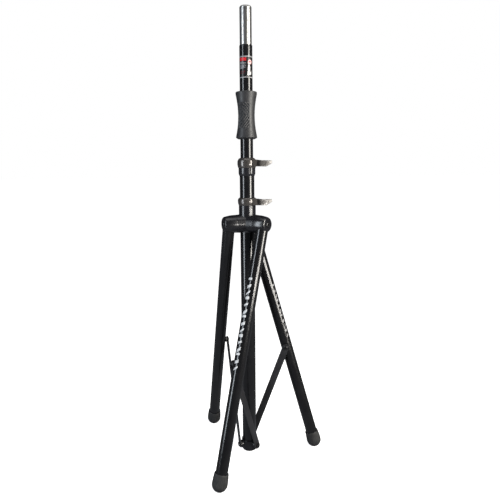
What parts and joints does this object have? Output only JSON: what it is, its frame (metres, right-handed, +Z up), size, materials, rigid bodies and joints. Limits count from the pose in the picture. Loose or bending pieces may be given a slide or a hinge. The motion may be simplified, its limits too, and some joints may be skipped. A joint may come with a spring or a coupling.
{
  "type": "speaker tripod stand",
  "caption": "Folding tripod stand with a telescoping mast, a tapered-waist hand grip, two lever collars and tangential legs with braces, for a pole-mounted loudspeaker.",
  "frame": {"origin": "on the mast's axis, at the floor that the three feet stand on", "axes": "+Z up the mast; +X along the wings of the two lever collars; +Y makes it right-handed"},
  "size_m": [0.3975, 0.4266, 1.3937],
  "materials": {
    "black_tube": "black satin powder coat",
    "black_plastic": "moulded",
    "sleeve_plastic": "moulded, slight sheen",
    "bush_plastic": "acetal",
    "black_casting": "glass-filled nylon, semi-gloss",
    "black_steel": "black oxide",
    "bright_steel": "zinc plated",
    "bare_aluminium": "turned and polished",
    "grip_rubber": "moulded, soft",
    "foot_rubber": "moulded, matte",
    "bronze_casting": "dark bronze grey, glossy",
    "strut_steel": "black satin paint"
  },
  "bodies": {
    "mast": {"outer_tube": "black_tube", "mast_end_cap": "black_plastic", "upper_sleeve": "sleeve_plastic", "upper_bushing": "bush_plastic", "base_bracket": "black_casting", "bracket_bolts": "black_steel", "spring_anchor": "bare_aluminium", "spring_rod": "bright_steel", "spring_piston": "bush_plastic"},
    "inner_tube": {"inner_tube": "black_tube", "spigot_tip": "bare_aluminium", "height_grip": "grip_rubber", "guide_bushing": "bush_plastic", "spring_cylinder": "black_steel", "spring_gland": "bush_plastic", "spring_centring_ring": "bush_plastic", "spring_mount": "bare_aluminium", "spring_pin": "bright_steel"},
    "upper_collar": {"upper_collar": "bronze_casting"},
    "hub": {"hub": "black_casting", "hub_upper_bushing": "bush_plastic", "hub_lower_bushing": "bush_plastic", "leg_pivot_bolts": "black_steel"},
    "lower_collar": {"lower_collar": "bronze_casting"},
    "leg_front": {"knuckle_front": "black_casting", "leg_tube_front": "black_tube", "strut_insert_front": "bright_steel", "foot_front": "foot_rubber"},
    "strut_front": {"strut_front": "strut_steel", "strut_spacer_front": "black_plastic", "strut_bolt_front": "black_steel"},
    "leg_right": {"knuckle_right": "black_casting", "leg_tube_right": "black_tube", "strut_insert_right": "bright_steel", "foot_right": "foot_rubber"},
    "strut_right": {"strut_right": "strut_steel", "strut_spacer_right": "black_plastic", "strut_bolt_right": "black_steel"},
    "leg_left": {"knuckle_left": "black_casting", "leg_tube_left": "black_tube", "strut_insert_left": "bright_steel", "foot_left": "foot_rubber"},
    "strut_left": {"strut_left": "strut_steel", "strut_spacer_left": "black_plastic", "strut_bolt_left": "black_steel"}
  },
  "joints": [
    {"name": "height_slide", "type": "slide", "parent": "mast", "child": "inner_tube", "axis": [0, 0, 1], "range_m": [-0.055, 0.79]},
    {"name": "hub_slide", "type": "slide", "parent": "mast", "child": "hub", "axis": [0, 0, -1], "range_m": [-0.06, 0.2658]},
    {"name": "upper_collar_turn", "type": "hinge", "parent": "mast", "child": "upper_collar", "pos_m": [0, 0, 0.951], "axis": [0, 0, 1], "range_deg": [0, 90]},
    {"name": "lower_collar_turn", "type": "hinge", "parent": "hub", "child": "lower_collar", "pos_m": [0, 0, 0.835], "axis": [0, 0, 1], "range_deg": [0, 90]},
    {"name": "leg_front_swing", "type": "hinge", "parent": "hub", "child": "leg_front", "pos_m": [0.04659, -0.03813, 0.7678], "axis": [-0.7738, 0.6334, 0], "range_deg": [-6.62, 29.15]},
    {"name": "strut_front_swing", "type": "hinge", "parent": "mast", "child": "strut_front", "pos_m": [0.02592, -0.02122, 0.031], "axis": [0.7738, -0.6334, 0], "range_deg": [-9.31, 41.09]},
    {"name": "leg_right_swing", "type": "hinge", "parent": "hub", "child": "leg_right", "pos_m": [0.00973, 0.05941, 0.7678], "axis": [-0.1616, -0.9869, 0], "range_deg": [-6.62, 29.15]},
    {"name": "strut_right_swing", "type": "hinge", "parent": "mast", "child": "strut_right", "pos_m": [0.00541, 0.03306, 0.031], "axis": [0.1616, 0.9869, 0], "range_deg": [-9.31, 41.09]},
    {"name": "leg_left_swing", "type": "hinge", "parent": "hub", "child": "leg_left", "pos_m": [-0.05631, -0.02128, 0.7678], "axis": [0.9354, 0.3535, 0], "range_deg": [-6.62, 29.15]},
    {"name": "strut_left_swing", "type": "hinge", "parent": "mast", "child": "strut_left", "pos_m": [-0.03134, -0.01184, 0.031], "axis": [-0.9354, -0.3535, 0], "range_deg": [-9.31, 41.09]}
  ],
  "couplings": [
    {"joint": "leg_front_swing", "follows": "hub_slide", "rad_per_m": 1.9111},
    {"joint": "strut_front_swing", "follows": "hub_slide", "rad_per_m": 2.695},
    {"joint": "leg_right_swing", "follows": "hub_slide", "rad_per_m": 1.9111},
    {"joint": "strut_right_swing", "follows": "hub_slide", "rad_per_m": 2.695},
    {"joint": "leg_left_swing", "follows": "hub_slide", "rad_per_m": 1.9111},
    {"joint": "strut_left_swing", "follows": "hub_slide", "rad_per_m": 2.695}
  ]
}
